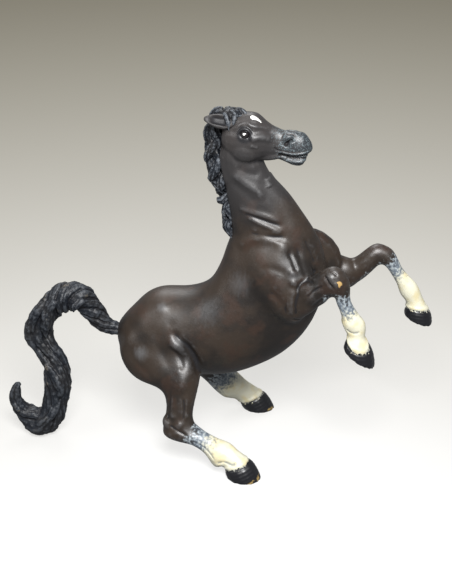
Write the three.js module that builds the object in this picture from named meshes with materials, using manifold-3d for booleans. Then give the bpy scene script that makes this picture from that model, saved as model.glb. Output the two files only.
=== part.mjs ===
// A rearing horse, a painted bronze statuette. Millimetres, +Z up. The horse faces +X, its right
// side is at -Y, and it stands on its two hind hooves and the low loop of its tail. Each casting is
// a loft through elliptical rings; the seams, sockets and bores are cut afterwards.
import * as THREE from "three";
import { mergeVertices } from "three/addons/utils/BufferGeometryUtils.js";
import Module from "manifold-3d";

// Driving dimensions
const WALL = 3.5;             // bronze thickness of the hollow castings
const SOLDER_GAP = 0.3;       // between neighbouring castings
const SLEEVE_WALL = 2.2;      // neck sleeve that slides into the trunk
const SLEEVE_DEPTH = 9;
const SLEEVE_ROOT = 1.5;      // bronze left between the sleeve and the neck above it
const DOWEL_RADIUS = 2.2;     // leg and head dowels
const DOWEL_LENGTH = 14;
const NECK_PIN_RADIUS = 1.5;
const NECK_PIN_LENGTH = 4.6;
const NECK_PIN_HEIGHT = -4.5; // below the neck seam, on the middle of the sleeve
const LOCATING_PIN_RADIUS = 0.8;
const LOCATING_PIN_LENGTH = 5;
const STUD_RADIUS = 1.5;      // tail stud and the nut on it, inside the rump
const STUD_LENGTH = 17;
const NUT_RADIUS = 3.6;
const NUT_THICKNESS = 2.6;
const CUTTER_SIZE = 500;

// How finely the castings are faceted
const BODY_SIDES = 24;
const NECK_SIDES = 20;
const LEG_SIDES = 12;
const HAIR_SIDES = 8;
const PIN_SIDES = 12;
const STEPS_PER_RING = 2;

// One ring of a loft: its centre, the way the limb heads there in the side view (degrees, 0 is
// forwards and 90 is up), its half depth in that view and its half width across it.
const ring = (x, y, z, heading, deep, wide) => ({ x, y, z, heading, deep, wide });

const NECK_BASE = [
  ring(31.5, 0, 106.5, 62, 26.5, 13.5),
  ring(30.5, 0, 116, 74, 24, 12),
  ring(27.5, 0, 124.5, 83, 20.7, 11),
  ring(24, 0, 132, 89, 17.8, 10),
];
const BODY = [
  ring(-52.5, 0, 61, 0, 2.8, 2.8),
  ring(-50, 0, 59.5, 0, 5.2, 4.6),    // dock
  ring(-46.5, 0, 57.5, 0, 12, 10.5),
  ring(-42, 0, 57.5, 0, 16.8, 14.5),
  ring(-35, 0, 60.5, 2, 20.5, 18),    // croup
  ring(-26, 0, 63, 4, 22, 19),
  ring(-14, 0, 62.5, 6, 23, 19.8),    // loin
  ring(-4, 0, 64, 9, 24, 20.5),
  ring(4, 0, 66.8, 15, 25.6, 20.5),   // back
  ring(11.5, 0, 72.2, 23, 27.6, 19.5),
  ring(18.8, 0, 79, 32, 29.3, 18),    // girth
  ring(25, 0, 88, 42, 29.8, 16.5),
  ring(29, 0, 97.5, 52, 28.4, 15),
  ...NECK_BASE,
];
const NECK = [
  ...NECK_BASE,
  ring(21, 0, 138.5, 92, 15.7, 9.2),
  ring(18, 0, 144.3, 90, 13.6, 8.4),
  ring(14.7, 0, 150.5, 87, 11.6, 7.8), // throat
  ring(12.8, 0, 157.5, 82, 10.6, 7.7),
  ring(12.5, 0, 164, 80, 9, 7),
  ring(13, 0, 170, 80, 6, 5),
];
const HEAD = [
  ring(3.5, 0, 168, 0, 4, 4),
  ring(6, 0, 168, 0, 9.5, 6.6),       // poll
  ring(11, 0, 167, 0, 13.6, 8.4),
  ring(16, 0, 167.2, 0, 13.6, 8.9),   // jaw
  ring(20, 0, 168, 0, 12.2, 8.5),
  ring(23.5, 0, 167.3, 0, 10, 7.1),
  ring(27, 0, 166.3, 0, 8, 5.6),
  ring(31, 0, 165.4, 0, 7.4, 4.7),    // bridge of the nose
  ring(35, 0, 164.3, 0, 7.9, 4.7),
  ring(39, 0, 163.7, 0, 8.4, 5),
  ring(42.5, 0, 163.8, 0, 7.8, 4.6),  // muzzle
  ring(45, 0, 164.2, 0, 4.4, 3),
];
const shoulder = {
  right: [
    ring(20, -6, 116, -58, 7, 6),
    ring(26, -8.5, 108, -58, 15, 8.5),
    ring(33, -10.5, 99, -60, 17, 9.5),
    ring(38, -11.5, 90, -66, 14.5, 9.5),
    ring(39.5, -12, 82, -78, 9, 7),
    ring(39, -12, 77, -85, 4, 4),
  ],
  left: [
    ring(22, 6, 117, -50, 7, 6),
    ring(32, 9.5, 111, -46, 12.5, 8),
    ring(43, 12.5, 105, -45, 13.5, 8.5),
    ring(50, 14.5, 98, -50, 12.5, 8.5),  // point of the shoulder
    ring(53, 15, 90, -68, 9.5, 7.5),
    ring(52, 14.5, 83, -88, 5, 4),
  ],
};

// Limbs, from inside the trunk to the coronet, and their hooves, from the coronet to the sole.
const thigh = (side) => [
  ring(-34, 6 * side, 68, -76, 8, 6),
  ring(-32, 8.5 * side, 60, -74, 17.5, 11),
  ring(-26.5, 11.5 * side, 52, -67, 19.5, 11.5),
];
const LIMBS = {
  hindleg_right: {
    leg: [
      ...thigh(-1),
      ring(-21, -14.5, 48, -64, 17.5, 10.5),
      ring(-17, -17.5, 45, -66, 13.4, 8.5),  // stifle
      ring(-14.7, -20, 40.4, -69, 9.9, 7.2),
      ring(-14.7, -23, 33, -73, 7.5, 5.8),   // gaskin
      ring(-15.6, -25, 25.5, -75, 7.3, 5.3),
      ring(-15.2, -26.5, 20, -70, 8.6, 5.8), // hock
      ring(-10.8, -27.5, 17.6, -66, 7.6, 5.5),
      ring(-4.6, -29, 16.3, -55, 5.1, 4.2),  // cannon
      ring(1.9, -30.5, 13.6, -48, 5.2, 4.4),
      ring(5.8, -32, 11.6, -43, 6.7, 5.3),   // fetlock
      ring(8.8, -33.2, 9.6, -39, 7.3, 5.5),
      ring(12, -34.3, 9.6, -44, 5.4, 4.8),   // pastern
      ring(14.6, -35.3, 7.6, -56, 6.2, 5.6),
    ],
    hoof: [
      ring(14.2, -35.2, 8.2, -56, 5.8, 5.4),
      ring(17, -35.8, 4.8, -70, 7.6, 7),
      ring(19.4, -36, 0, -90, 8.4, 7.6),
    ],
    seam: { x: -15.8, y: -19, z: 42.5, heading: -68, sideways: -0.35 },
  },
  hindleg_left: {
    leg: [
      ...thigh(1),
      ring(-22, 14.5, 47, -56, 16, 10.5),
      ring(-19, 18, 43, -48, 11.5, 8.5),     // stifle
      ring(-18, 21, 39, -56, 8.4, 6.8),
      ring(-16.5, 23.5, 34.5, -56, 7.6, 5.9), // hock
      ring(-12.2, 25, 31, -50, 6.8, 5.4),
      ring(-8.4, 26.5, 27, -50, 6.2, 5),     // cannon
      ring(-4, 28.3, 22.4, -50, 6.6, 5.2),
      ring(0.6, 30.2, 17.8, -48, 7.8, 5.9),  // fetlock
      ring(4.8, 32, 13, -44, 7.4, 5.7),
      ring(8.8, 33.8, 10.4, -44, 5.9, 5),    // pastern
      ring(12.4, 35.2, 7.2, -54, 6.2, 5.6),
    ],
    hoof: [
      ring(11.9, 35, 7.8, -54, 5.8, 5.4),
      ring(15, 35.8, 4.6, -68, 7.3, 6.8),
      ring(17.8, 36, 0, -90, 8.2, 7.4),
    ],
    seam: { x: -18.9, y: 18.5, z: 42, heading: -54, sideways: 0.35 },
  },
  foreleg_right: {
    leg: [
      ring(37, -11, 84, 10, 4, 4),
      ring(41, -13, 88.6, 4, 8.6, 6),        // elbow
      ring(45.5, -15, 91.2, 4, 9.6, 6.2),
      ring(51, -17, 96.5, 8, 8.4, 5.7),      // forearm
      ring(55.2, -18.5, 100.6, 13, 7.4, 5.2),
      ring(58, -19.5, 103, 14, 7.3, 5.2),
      ring(60.5, -20, 103.8, 8, 8, 5.5),     // knee
      ring(62.6, -20, 103.5, -2, 7.4, 5.2),
      ring(63.8, -20, 102, -20, 6.2, 4.8),
      ring(64.3, -20, 99.8, -50, 4.8, 4.2),
      ring(64.6, -20, 97, -72, 3.7, 3.5),
      ring(65.3, -20, 93.4, -78, 3.3, 3.2),  // cannon
      ring(67, -20, 89.6, -78, 3.4, 3.3),
      ring(68.8, -20, 86, -80, 4.1, 3.7),
      ring(70.4, -20.1, 82.6, -84, 5.3, 4.4), // fetlock
      ring(71.3, -20.3, 79.2, -90, 5.1, 4.2),
      ring(71.9, -20.5, 76, -97, 4.2, 3.9),  // pastern
      ring(72.6, -20.7, 73, -98, 5.3, 5),
    ],
    hoof: [
      ring(72.4, -20.6, 74, -98, 4.9, 4.7),
      ring(73.5, -20.9, 69, -106, 7.3, 6.5),
      ring(73.8, -21, 63.9, -122, 9, 7.2),
    ],
    seam: { x: 47, y: -15.6, z: 92.4, heading: 38, sideways: -0.3 },
  },
  foreleg_left: {
    leg: [
      ring(46, 12, 89, 0, 6, 5),
      ring(53, 14.5, 90.5, 0, 10.5, 7.2),    // elbow
      ring(59.3, 17, 90.8, 0, 10.6, 6.8),
      ring(63.7, 18, 90.6, 0, 8.3, 5.9),     // forearm
      ring(68.2, 18.6, 92.5, 4, 6.8, 5.4),
      ring(72.4, 19.1, 95.9, 6, 6.7, 5.3),
      ring(76, 19.6, 99.3, 7, 6.3, 5.1),
      ring(79, 20, 101.4, 5, 5.5, 4.6),      // knee
      ring(82, 20, 101.2, -2, 4.9, 4.1),
      ring(84.7, 20, 99.6, -20, 4.4, 3.9),
      ring(86.8, 20, 96.4, -36, 3.5, 3.3),
      ring(89, 20, 92.4, -50, 3, 3),         // cannon
      ring(91.9, 20.1, 88.2, -56, 3.4, 3.2),
      ring(94.5, 20.3, 84.4, -68, 4.5, 3.9), // fetlock
      ring(96.2, 20.5, 80.8, -78, 4.8, 4.1),
      ring(98.2, 20.7, 77.2, -85, 4.3, 4),   // pastern
      ring(99.4, 20.9, 73.6, -86, 5.2, 4.9),
    ],
    hoof: [
      ring(99.1, 20.8, 74.6, -86, 4.9, 4.7),
      ring(100.2, 21, 70, -94, 6.7, 6.2),
      ring(100.6, 21, 66.2, -112, 7.6, 6.6),
    ],
    seam: { x: 56.5, y: 15.8, z: 90.8, heading: 8, sideways: 0.2 },
  },
};

// From the tip of the hook, round the loop that rests on the floor, up and over to the dock.
const TAIL = [
  ring(-101.6, -8.5, 29.2, -105, 0.7, 0.8),
  ring(-103.4, -8.5, 26.6, -84, 1.9, 2),
  ring(-104, -8.5, 20.6, -52, 2.9, 3),
  ring(-100.6, -8.3, 13.2, -14, 4.4, 4.2),
  ring(-96, -8.1, 10, 4, 6.2, 5.4),
  ring(-91, -8, 6.6, 20, 7.9, 6.8),       // rests here
  ring(-85.4, -7.2, 12, 56, 6.2, 5.9),
  ring(-83, -6.2, 20.8, 90, 6, 5.8),
  ring(-81.8, -5.2, 30.6, 94, 6.6, 6.1),
  ring(-82.9, -4.4, 40.4, 109, 6.1, 5.7),
  ring(-87.2, -3.7, 48.3, 112, 5.8, 5.5),
  ring(-90.5, -3, 56.5, 88, 6.1, 5.7),
  ring(-88.9, -2.5, 64.5, 62, 5.8, 5.5),
  ring(-83.6, -2, 72.5, 26, 6.6, 6.1),
  ring(-77, -1.5, 77.3, 4, 7.5, 6.9),     // top of the arch
  ring(-70.2, -1, 77.8, -12, 6.7, 6.3),
  ring(-64.8, -0.5, 74.6, -28, 6, 5.7),
  ring(-61, 0, 69.2, -36, 5.6, 5.4),
  ring(-56.8, 0, 63.6, -26, 4.5, 4.3),
  ring(-52.5, 0, 61, -4, 3.2, 3.1),
  ring(-46, 0, 60.5, 0, 3, 3),
];

// Hair: the mane falls to the left of the crest, and the forelock is blown back between the ears.
const MANE_UPPER = [
  ring(6, 1.5, 176.5, 190, 3.2, 4),
  ring(1.6, 2, 173, 235, 5, 5.2),
  ring(-0.5, 2.5, 165.5, 265, 5.4, 5.8),
  ring(-0.6, 3, 156.5, 274, 5.4, 6),
  ring(0.6, 3.5, 148, 280, 5.8, 5.8),
  ring(3.6, 3.5, 141.5, 292, 5, 5),
  ring(6.4, 3.5, 137.4, 305, 2.4, 3),
];
const MANE_FLYING = [
  ring(9.4, 3, 137.5, 215, 2.4, 3.2),
  ring(6.2, 2.4, 135.4, 205, 3.6, 4),
  ring(3, 1.2, 134.2, 190, 2.6, 2.8),
  ring(0, 0.5, 134, 178, 1.1, 1.2),
];
const MANE_LOWER = [
  ring(7.6, 3.5, 132, 262, 3.8, 4.4),
  ring(7, 3.5, 127, 272, 5, 5),
  ring(7.6, 3, 121.5, 280, 5, 4.8),
  ring(9, 2.5, 116, 286, 3.8, 3.8),
  ring(10.2, 2, 111.5, 290, 1.6, 2),
];
const FORELOCK = [
  ring(3.5, 0, 178.5, 25, 2.4, 3),
  ring(7.5, 0, 179.4, 8, 3.8, 4.6),
  ring(12, 0.3, 178.9, -14, 3.4, 4.2),
  ring(16.5, 0.6, 177.2, -22, 1.6, 2.2),
];
const ear = (side) => [
  ring(8, 5 * side, 174.5, 165, 2.6, 2),
  ring(4.5, 6 * side, 176, 168, 3.1, 2.2),
  ring(0, 6.6 * side, 177.4, 174, 2.6, 1.9),
  ring(-3.6, 6.8 * side, 178.2, 178, 1, 0.9),
];

// Where the castings part: a point of each flat joint face and the heading of the outer piece.
const NECK_SEAM = { x: 28.8, y: 0, z: 120.5, heading: 79 };
const HEAD_SEAM = { x: 13.4, y: 0, z: 154.6, heading: 84 };
const TAIL_SEAM = { x: -50.6, y: 0, z: 60.4, heading: 180 };

const wasm = await Module();
wasm.setup();

const vector = (x, y, z) => new THREE.Vector3(x, y, z);

// The unit vector of a heading in the side view, leaning sideways by a fraction of its length.
function headingVector(heading, sideways = 0) {
  const angle = THREE.MathUtils.degToRad(heading);
  return vector(Math.cos(angle), sideways, Math.sin(angle)).normalize();
}

// The way a ring's half depth points: across its heading, towards the back or the top.
const depthVector = (heading) => headingVector(heading + 90);

// A closed three.js geometry as a solid that can be joined and cut.
function solid(geometry) {
  geometry.deleteAttribute("normal");
  geometry.deleteAttribute("uv");
  const merged = mergeVertices(geometry, 1e-4);
  const vertProperties = new Float32Array(merged.attributes.position.array);
  const triVerts = new Uint32Array(merged.index.array);
  return new wasm.Manifold(new wasm.Mesh({ numProp: 3, vertProperties, triVerts }));
}

// A smooth solid through a list of rings. grow moves its skin outwards or, below 0, inwards.
function loft(rings, sides, grow = 0) {
  const smooth = (points) => new THREE.CatmullRomCurve3(points, false, "catmullrom", 0.5);
  const centres = smooth(rings.map((r) => vector(r.x, r.y, r.z)));
  const shapes = smooth(rings.map((r) => vector(r.heading, r.deep, r.wide)));
  const steps = (rings.length - 1) * STEPS_PER_RING;
  const geometry = new THREE.CylinderGeometry(1, 1, 1, sides, steps);
  const position = geometry.attributes.position;
  const unit = vector(0, 0, 0);
  for (let i = 0; i < position.count; i += 1) {
    unit.fromBufferAttribute(position, i);
    const along = THREE.MathUtils.clamp(0.5 - unit.y, 0, 1);
    const [heading, deep, wide] = shapes.getPoint(along).toArray();
    const point = centres.getPoint(along);
    point.addScaledVector(depthVector(heading), unit.z * Math.max(deep + grow, 0.2));
    point.y += unit.x * Math.max(wide + grow, 0.2);
    position.setXYZ(i, point.x, point.y, point.z);
  }
  return solid(geometry);
}

// The whole half space beyond a plane, on the side that its heading points to.
function beyond({ x, y, z, heading }, offset = 0) {
  const geometry = new THREE.BoxGeometry(CUTTER_SIZE, CUTTER_SIZE, CUTTER_SIZE);
  geometry.translate(CUTTER_SIZE / 2 + offset, 0, 0);
  geometry.rotateY(-THREE.MathUtils.degToRad(heading));
  geometry.translate(x, y, z);
  return solid(geometry);
}

// The half space on one side of the median plane: side is 1 for left and -1 for right.
function besideMedian(side) {
  const geometry = new THREE.BoxGeometry(CUTTER_SIZE, CUTTER_SIZE, CUTTER_SIZE);
  geometry.translate(0, side * (CUTTER_SIZE / 2 - SOLDER_GAP / 2), 0);
  return solid(geometry);
}

// A straight rod centred on a point.
function rod(centre, direction, radius, length, sides = PIN_SIDES) {
  const geometry = new THREE.CylinderGeometry(radius, radius, length, sides);
  const turn = new THREE.Quaternion().setFromUnitVectors(vector(0, 1, 0), direction);
  geometry.applyQuaternion(turn);
  geometry.translate(centre.x, centre.y, centre.z);
  return solid(geometry);
}

const union = (solids) => solids.reduce((whole, next) => whole.add(next));
const cut = (start, ...cutters) => cutters.reduce((whole, next) => whole.subtract(next), start);

// The biggest body of a solid, without the slivers that a cut may leave.
function mainBody(whole) {
  const bodies = whole.decompose();
  return bodies.reduce((best, next) => (next.volume() > best.volume() ? next : best));
}

// A pin or dowel and the hole that takes it.
function pinAndHole(centre, direction, radius, length) {
  return {
    pin: rod(centre, direction, radius, length),
    hole: rod(centre, direction, radius + SOLDER_GAP, length + 2 * SOLDER_GAP),
  };
}

const pieces = {};

function skin(grow = 0) {
  return {
    body: loft(BODY, BODY_SIDES, grow),
    shoulders: union([
      loft(shoulder.right, LEG_SIDES, grow),
      loft(shoulder.left, LEG_SIDES, grow),
    ]),
    neck: loft(NECK, NECK_SIDES, grow),
    head: loft(HEAD, NECK_SIDES, grow),
  };
}
const flush = skin();
const cleared = skin(SOLDER_GAP);

// Legs, each one casting down to its sole, on a flat face of the trunk with one dowel.
const trunkHoles = [];
const stumps = [];
for (const [name, { leg, hoof, seam }] of Object.entries(LIMBS)) {
  const whole = loft(leg, LEG_SIDES);
  const { pin, hole } = pinAndHole(
    vector(seam.x, seam.y, seam.z), headingVector(seam.heading, seam.sideways),
    DOWEL_RADIUS, DOWEL_LENGTH);
  const outer = whole.add(loft(hoof, LEG_SIDES)).intersect(beyond(seam, SOLDER_GAP));
  pieces[name] = mainBody(cut(outer, cleared.body, cleared.shoulders, hole));
  pieces[`${name}_dowel`] = pin;
  stumps.push(whole.subtract(beyond(seam)));
  trunkHoles.push(hole);
}

// Tail, on a stud that passes into the rump and takes a nut there.
const studCentre = vector(TAIL_SEAM.x, TAIL_SEAM.y, TAIL_SEAM.z);
const stud = pinAndHole(studCentre, vector(1, 0, 0), STUD_RADIUS, STUD_LENGTH);
const floor = { x: 0, y: 0, z: 0, heading: -90 };
const nutCentre = studCentre.clone().setX(studCentre.x + 7);
pieces.tail = mainBody(cut(
  loft(TAIL, HAIR_SIDES + 2).intersect(beyond(TAIL_SEAM, SOLDER_GAP)), beyond(floor), stud.hole));
pieces.tail_stud = stud.pin;
pieces.tail_nut = rod(nutCentre, vector(1, 0, 0), NUT_RADIUS, NUT_THICKNESS, 6)
  .subtract(stud.hole);
trunkHoles.push(stud.hole);

// Neck: a hollow shell with a sleeve below it, held in the trunk by three pins.
const inTrunk = -WALL - SOLDER_GAP;
const sleeve = loft(BODY, BODY_SIDES, inTrunk)
  .intersect(beyond(NECK_SEAM, -SLEEVE_DEPTH))
  .subtract(beyond(NECK_SEAM, SLEEVE_ROOT));
const sleeveBore = loft(BODY, BODY_SIDES, inTrunk - SLEEVE_WALL)
  .intersect(beyond(NECK_SEAM, -2 * SLEEVE_DEPTH))
  .subtract(beyond(NECK_SEAM, 2 * SLEEVE_ROOT));
const neckBore = loft(NECK, NECK_SIDES, -WALL)
  .intersect(beyond(NECK_SEAM, SLEEVE_ROOT))
  .subtract(beyond(HEAD_SEAM, -0.8 * DOWEL_LENGTH));
const neckShell = flush.neck
  .intersect(beyond(NECK_SEAM, SOLDER_GAP))
  .subtract(beyond(HEAD_SEAM));
const headDowel = pinAndHole(
  vector(HEAD_SEAM.x, HEAD_SEAM.y, HEAD_SEAM.z), headingVector(HEAD_SEAM.heading),
  DOWEL_RADIUS, DOWEL_LENGTH);
const neckHoles = [];
const pinLevel = vector(NECK_SEAM.x, NECK_SEAM.y, NECK_SEAM.z)
  .addScaledVector(headingVector(NECK_SEAM.heading), NECK_PIN_HEIGHT);
const throatward = depthVector(NECK_SEAM.heading).negate();
for (const [name, direction, reach] of [
  ["neck_pin_right", vector(0, -1, 0), 8.7],
  ["neck_pin_left", vector(0, 1, 0), 8.7],
  ["neck_pin_front", throatward, 19.2],
]) {
  const centre = pinLevel.clone().addScaledVector(direction, reach);
  const { pin, hole } = pinAndHole(centre, direction, NECK_PIN_RADIUS, NECK_PIN_LENGTH);
  pieces[name] = pin;
  neckHoles.push(hole);
  trunkHoles.push(hole);
}
pieces.neck = mainBody(cut(
  neckShell.add(sleeve), sleeveBore, neckBore, cleared.head, headDowel.hole, ...neckHoles));

// Head, with the ears and the forelock soldered on.
const headWithPoll = flush.head.add(flush.neck.intersect(beyond(HEAD_SEAM, SOLDER_GAP)));
pieces.head = mainBody(headWithPoll.subtract(headDowel.hole));
pieces.head_dowel = headDowel.pin;
const clearedHead = cleared.head.add(cleared.neck);
pieces.ear_right = mainBody(loft(ear(-1), HAIR_SIDES).subtract(clearedHead));
pieces.ear_left = mainBody(loft(ear(1), HAIR_SIDES).subtract(clearedHead));
const clearedEars = loft(ear(-1), HAIR_SIDES, SOLDER_GAP).add(loft(ear(1), HAIR_SIDES, SOLDER_GAP));
pieces.forelock = mainBody(cut(loft(FORELOCK, HAIR_SIDES), clearedHead, clearedEars));

// Mane: three groups of locks along the crest.
const clearedForelock = loft(FORELOCK, HAIR_SIDES, SOLDER_GAP);
const clearedUpper = loft(MANE_UPPER, HAIR_SIDES, SOLDER_GAP);
const clearedFlying = loft(MANE_FLYING, HAIR_SIDES, SOLDER_GAP);
pieces.mane_upper = mainBody(cut(
  loft(MANE_UPPER, HAIR_SIDES), clearedHead, clearedEars, clearedForelock));
pieces.mane_flying = mainBody(cut(loft(MANE_FLYING, HAIR_SIDES), clearedHead, clearedUpper));
pieces.mane_lower = mainBody(cut(
  loft(MANE_LOWER, HAIR_SIDES), clearedHead, cleared.body, clearedUpper, clearedFlying));

// Trunk: two hollow halves that meet on the median plane, with four locating pins in their walls.
const locatingPins = [
  ["locating_pin_croup", BODY[5], 1],
  ["locating_pin_belly", BODY[7], -1],
  ["locating_pin_withers", BODY[12], 1],
  ["locating_pin_girth", BODY[11], -1],
];
for (const [name, { x, y, z, heading, deep }, towardsBack] of locatingPins) {
  const centre = vector(x, y, z)
    .addScaledVector(depthVector(heading), towardsBack * (deep - WALL / 2));
  const { pin, hole } = pinAndHole(
    centre, vector(0, 1, 0), LOCATING_PIN_RADIUS, LOCATING_PIN_LENGTH);
  pieces[name] = pin;
  trunkHoles.push(hole);
}
const trunk = cut(
  union([flush.body, flush.shoulders, ...stumps]),
  beyond(NECK_SEAM), beyond(TAIL_SEAM), loft(BODY, BODY_SIDES, -WALL), ...trunkHoles);
pieces.trunk_right = mainBody(trunk.subtract(besideMedian(1)));
pieces.trunk_left = mainBody(trunk.subtract(besideMedian(-1)));

// Finishes
const finish = (color, roughness, metalness) => ({ color, roughness, metalness });
const COAT = finish(0x3a302b, 0.45, 0.3);   // dark brown painted bronze
const HAIR = finish(0x23262c, 0.45, 0.3);   // blue-black painted bronze
const BRASS = finish(0xb08d4c, 0.4, 0.9);   // bare fixings inside
function finishOf(name) {
  if (/dowel|pin|stud|nut/.test(name)) return BRASS;
  if (/mane|forelock|tail/.test(name)) return HAIR;
  return COAT;
}

const statuette = new THREE.Group();
for (const [name, piece] of Object.entries(pieces)) {
  const { vertProperties, triVerts } = piece.getMesh();
  const geometry = new THREE.BufferGeometry();
  geometry.setAttribute("position", new THREE.BufferAttribute(vertProperties, 3));
  geometry.setIndex(new THREE.BufferAttribute(triVerts, 1));
  const part = new THREE.Mesh(geometry, new THREE.MeshStandardMaterial(finishOf(name)));
  part.name = name;
  statuette.add(part);
}

export default statuette;
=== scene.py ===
"""The looks of a rearing horse, a painted bronze statuette that stands on its hind hooves and tail."""
import math

import bpy
import numpy as np
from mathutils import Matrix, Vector


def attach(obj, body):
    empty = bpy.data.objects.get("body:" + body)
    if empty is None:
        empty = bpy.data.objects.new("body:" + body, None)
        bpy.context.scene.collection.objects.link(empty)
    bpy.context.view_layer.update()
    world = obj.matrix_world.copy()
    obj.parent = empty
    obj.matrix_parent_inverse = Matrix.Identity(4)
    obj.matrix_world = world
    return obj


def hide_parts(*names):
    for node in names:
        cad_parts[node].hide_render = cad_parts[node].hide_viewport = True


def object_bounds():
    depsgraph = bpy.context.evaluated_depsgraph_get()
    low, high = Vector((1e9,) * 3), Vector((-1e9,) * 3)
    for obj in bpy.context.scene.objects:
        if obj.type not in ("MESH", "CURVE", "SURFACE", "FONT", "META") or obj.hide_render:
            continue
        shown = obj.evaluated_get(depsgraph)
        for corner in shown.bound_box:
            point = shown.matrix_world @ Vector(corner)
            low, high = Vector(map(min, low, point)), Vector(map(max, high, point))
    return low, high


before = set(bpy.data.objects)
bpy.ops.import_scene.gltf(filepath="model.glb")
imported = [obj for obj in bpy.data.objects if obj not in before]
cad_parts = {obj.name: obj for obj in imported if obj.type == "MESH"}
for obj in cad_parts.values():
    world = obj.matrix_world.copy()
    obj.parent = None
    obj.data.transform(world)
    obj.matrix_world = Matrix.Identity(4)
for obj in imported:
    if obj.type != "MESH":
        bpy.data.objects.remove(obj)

CAD_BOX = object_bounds()

# Sizes below are in millimetres in the statuette's own frame: +X is forwards, +Z is up and the
# right side, which the camera sees, is at -Y. A heading is an angle in the side view in degrees,
# 0 forwards and 90 up.
MM = 0.001
RIGHT = -1
LEFT = 1
BOTH = 0

SKIN_VOXEL = 0.72     # grain of the skin of trunk, neck and legs
HEAD_VOXEL = 0.46
TAIL_VOXEL = 0.36
MANE_VOXEL = 0.28
SKIN_GROWTH = 0.25      # added all over, because relaxing the skin takes it away again
TRUNK_SOFTNESS = 2.6    # how far the rounding of the trunk reaches
TRUNK_KEPT = 0.5        # share of the trunk's triangles that is kept once it is sculpted
RELAX_IN = 0.5          # share of the way to its neighbours that a vertex moves to relax a mesh,
RELAX_OUT = -0.53       # and the step back that keeps the mesh from shrinking
SKIN_RELAX_OUT = -0.516 # a smaller step back, which rounds a skin off more
SMOOTH_ANGLE = 60       # sharper edges than this stay sharp

CASTINGS = ["trunk_right", "trunk_left", "neck", "head",
            "hindleg_right", "hindleg_left", "foreleg_right", "foreleg_left"]
DOWELS = ["hindleg_right_dowel", "hindleg_left_dowel", "foreleg_right_dowel",
          "foreleg_left_dowel", "head_dowel"]
FIXING_WORDS = ("dowel", "pin", "stud", "nut")
FIXINGS = [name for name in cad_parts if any(word in name for word in FIXING_WORDS)]


# Mesh tools

def deselect():
    bpy.ops.object.select_all(action="DESELECT")


def activate(piece):
    deselect()
    piece.select_set(True)
    bpy.context.view_layer.objects.active = piece


def finish_with(piece, kind, **settings):
    """Adds one modifier with its settings and applies it."""
    activate(piece)
    modifier = piece.modifiers.new(kind.title(), kind)
    for setting, value in settings.items():
        setattr(modifier, setting, value)
    bpy.ops.object.modifier_apply(modifier=modifier.name)


def edit(piece, *operators):
    """Runs edit-mode operators, given as (operator, settings), on the whole mesh."""
    activate(piece)
    bpy.ops.object.mode_set(mode="EDIT")
    bpy.ops.mesh.select_all(action="SELECT")
    for operator, settings in operators:
        operator(**settings)
    bpy.ops.object.mode_set(mode="OBJECT")


def join(name, parts):
    deselect()
    for part in parts:
        part.select_set(True)
    bpy.context.view_layer.objects.active = parts[0]
    if len(parts) > 1:
        bpy.ops.object.join()
    joined = bpy.context.view_layer.objects.active
    joined.name = name
    joined.data.name = name
    bpy.ops.object.transform_apply(location=True, rotation=True, scale=True)
    return joined


def duplicate(piece, name):
    copy = bpy.data.objects.new(name, piece.data.copy())
    bpy.context.scene.collection.objects.link(copy)
    return copy


def copy_of_nodes(name, nodes):
    """Copies of CAD nodes in one mesh, with their loose triangles merged."""
    copies = [duplicate(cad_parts[node], node + "_copy") for node in nodes]
    joined = join(name, copies)
    edit(joined, (bpy.ops.mesh.remove_doubles, {"threshold": 1e-6}))
    return joined


def points_of(piece):
    """The vertices of a mesh in millimetres."""
    flat = np.empty(len(piece.data.vertices) * 3, np.float64)
    piece.data.vertices.foreach_get("co", flat)
    return flat.reshape(-1, 3) / MM


def set_points(piece, points):
    piece.data.vertices.foreach_set("co", (points * MM).ravel())
    piece.data.update()


def normals_of(piece):
    flat = np.empty(len(piece.data.vertices) * 3, np.float64)
    piece.data.vertex_normals.foreach_get("vector", flat)
    return flat.reshape(-1, 3)


def edges_of(piece):
    flat = np.empty(len(piece.data.edges) * 2, np.int64)
    piece.data.edges.foreach_get("vertices", flat)
    return flat.reshape(-1, 2)


def neighbour_means(values, edges):
    """The mean of each vertex's neighbours."""
    first, second = edges.T
    count = len(values)
    degree = np.bincount(edges.ravel(), minlength=count)
    total = np.empty_like(values)
    for axis in range(values.shape[1]):
        total[:, axis] = np.bincount(first, values[second, axis], count)
        total[:, axis] += np.bincount(second, values[first, axis], count)
    return total / np.maximum(degree, 1)[:, None]


def relax(piece, rounds, outward=RELAX_OUT):
    """Takes small unevenness out of a mesh without shrinking it."""
    points = points_of(piece)
    edges = edges_of(piece)
    for _ in range(rounds):
        for factor in (RELAX_IN, outward):
            points += factor * (neighbour_means(points, edges) - points)
    set_points(piece, points)


def smoothstep(low, high, values):
    """0 below low, 1 above high and a smooth rise from one to the other."""
    t = np.clip((values - low) / (high - low), 0, 1)
    return t * t * (3 - 2 * t)


def smooth_line(points, steps=6):
    """A Catmull-Rom line through a short list of points, with that many rows from one to the next."""
    rows = np.array(points, float)
    padded = np.vstack([2 * rows[0] - rows[1], rows, 2 * rows[-1] - rows[-2]])
    line = []
    for index in range(1, len(padded) - 2):
        before, start, end, after = padded[index - 1:index + 3]
        for t in np.arange(steps) / steps:
            line.append(0.5 * (2 * start + (end - before) * t
                               + (2 * before - 5 * start + 4 * end - after) * t ** 2
                               + (3 * start - before - 3 * end + after) * t ** 3))
    line.append(rows[-1])
    return np.array(line)


def set_attribute(piece, name, values):
    attribute = piece.data.attributes.get(name)
    if attribute is None:
        attribute = piece.data.attributes.new(name, "FLOAT", "POINT")
    attribute.data.foreach_set("value", np.asarray(values, np.float32))


# Sculpting: muscles are lumps joined to the skin, and lines and spots are pressed into it or
# raised on it along its normals.

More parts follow.
